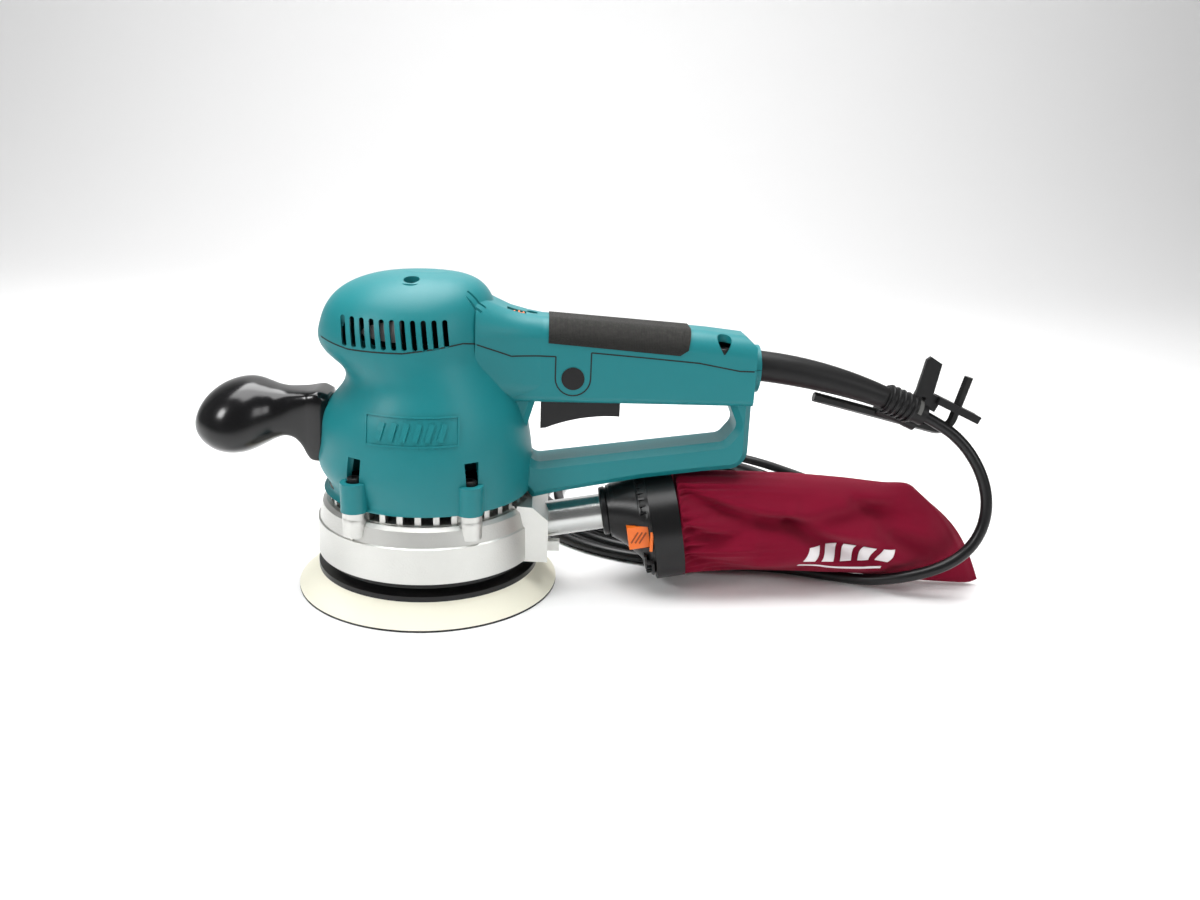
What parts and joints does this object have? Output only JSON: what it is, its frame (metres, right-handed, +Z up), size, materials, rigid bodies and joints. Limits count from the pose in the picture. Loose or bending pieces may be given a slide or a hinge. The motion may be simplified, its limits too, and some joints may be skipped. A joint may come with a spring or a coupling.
{
  "type": "orbital sander",
  "caption": "Random-orbit sander with round backing pad, palm grip, D-handle with trigger, dust nozzle with cloth bag and mains cord.",
  "frame": {"origin": "on the motor axis, in the plane of the pad's working face", "axes": "+X from the motor axis to the rear handle, +Z up along the motor axis, +Y to the tool's left seen from the palm grip towards the rear"},
  "size_m": [0.4616, 0.3223, 0.1814],
  "materials": {
    "teal_plastic": "satin moulded",
    "grip_rubber": "fine textured",
    "black_gloss": "glossy",
    "black_plastic": "satin",
    "cast_aluminium": "satin die-cast",
    "spout_aluminium": "turned",
    "skirt_rubber": "matte",
    "steel": "machined",
    "black_steel": "black oxide",
    "laminations": "stacked sheet",
    "copper": "enamelled wire",
    "carbon": "pressed",
    "foam": "closed-cell foam",
    "hook_fabric": "hook face",
    "orange_plastic": "satin",
    "circuit_board": "board",
    "grey_rubber": "matte",
    "cord_pvc": "satin sheath",
    "pin_brass": "nickel plated",
    "bag_cloth": "woven cotton"
  },
  "bodies": {
    "housing": {"motor_housing": "teal_plastic", "top_cover": "teal_plastic", "handle_rubber": "grip_rubber", "grip_upper": "black_gloss", "grip_lower": "black_gloss", "grip_neck": "black_plastic", "grip_bolt": "steel", "base_casting": "cast_aluminium", "dust_spout": "spout_aluminium", "spout_lug": "cast_aluminium", "dust_skirt": "skirt_rubber", "housing_screws": "black_steel", "cover_screws": "black_steel", "lower_bearing": "steel", "upper_bearing": "steel", "stator": "laminations", "field_coils": "copper", "bearing_plate": "black_plastic", "brush_holders": "black_plastic", "carbon_brushes": "carbon", "trigger_pin": "steel", "switch_body": "black_plastic", "speed_controller": "circuit_board", "cord_clamp": "black_plastic", "cord_guard": "skirt_rubber", "wrench_holder": "skirt_rubber", "holder_ring": "grey_rubber", "hex_wrench": "black_steel", "cord_tube": "cord_pvc", "cord_coil": "cord_pvc", "plug_body": "black_plastic", "plug_pins": "pin_brass"},
    "rotor": {"rotor_shaft": "steel", "armature_core": "laminations", "armature_windings": "copper", "commutator": "copper", "cooling_fan": "black_plastic", "eccentric_hub": "cast_aluminium", "pad_bearings": "steel"},
    "pad": {"pad_plate": "black_plastic", "foam_pad": "foam", "hook_face": "hook_fabric", "pad_bolt": "black_steel", "pad_washer": "steel"},
    "trigger": {"trigger": "black_plastic"},
    "lock_button": {"lock_button": "black_plastic"},
    "speed_dial": {"speed_dial": "orange_plastic"},
    "dust_bag": {"dust_nozzle": "black_plastic", "bag_ring": "black_plastic", "dust_bag": "bag_cloth"},
    "release_near": {"release_button_near": "orange_plastic"},
    "release_far": {"release_button_far": "orange_plastic"}
  },
  "joints": [
    {"name": "rotor_spin", "type": "hinge", "parent": "housing", "child": "rotor", "pos_m": [0, 0, 0], "axis": [0, 0, 1], "continuous": true},
    {"name": "pad_spin", "type": "hinge", "parent": "rotor", "child": "pad", "pos_m": [0, 0.00275, 0], "axis": [0, 0, 1], "continuous": true},
    {"name": "trigger_press", "type": "hinge", "parent": "housing", "child": "trigger", "pos_m": [0.106, 0, 0.118], "axis": [0, 1, 0], "range_deg": [0, 7], "stiffness_Nm_per_rad": 2, "springref_deg": -20.05},
    {"name": "lock_button_press", "type": "slide", "parent": "housing", "child": "lock_button", "axis": [0, 1, 0], "range_m": [0, 0.003], "stiffness_N_per_m": 600, "springref_m": -0.003},
    {"name": "speed_dial_turn", "type": "hinge", "parent": "housing", "child": "speed_dial", "pos_m": [0.049, 0, 0.151], "axis": [0, 1, 0], "range_deg": [0, 270]},
    {"name": "nozzle_pull", "type": "slide", "parent": "housing", "child": "dust_bag", "axis": [0.9848, 0, 0.1736], "range_m": [0, 0.025]},
    {"name": "release_near_press", "type": "slide", "parent": "dust_bag", "child": "release_near", "axis": [0, 1, 0], "range_m": [0, 0.003], "stiffness_N_per_m": 500, "springref_m": -0.003},
    {"name": "release_far_press", "type": "slide", "parent": "dust_bag", "child": "release_far", "axis": [0, -1, 0], "range_m": [0, 0.003], "stiffness_N_per_m": 500, "springref_m": -0.003}
  ]
}
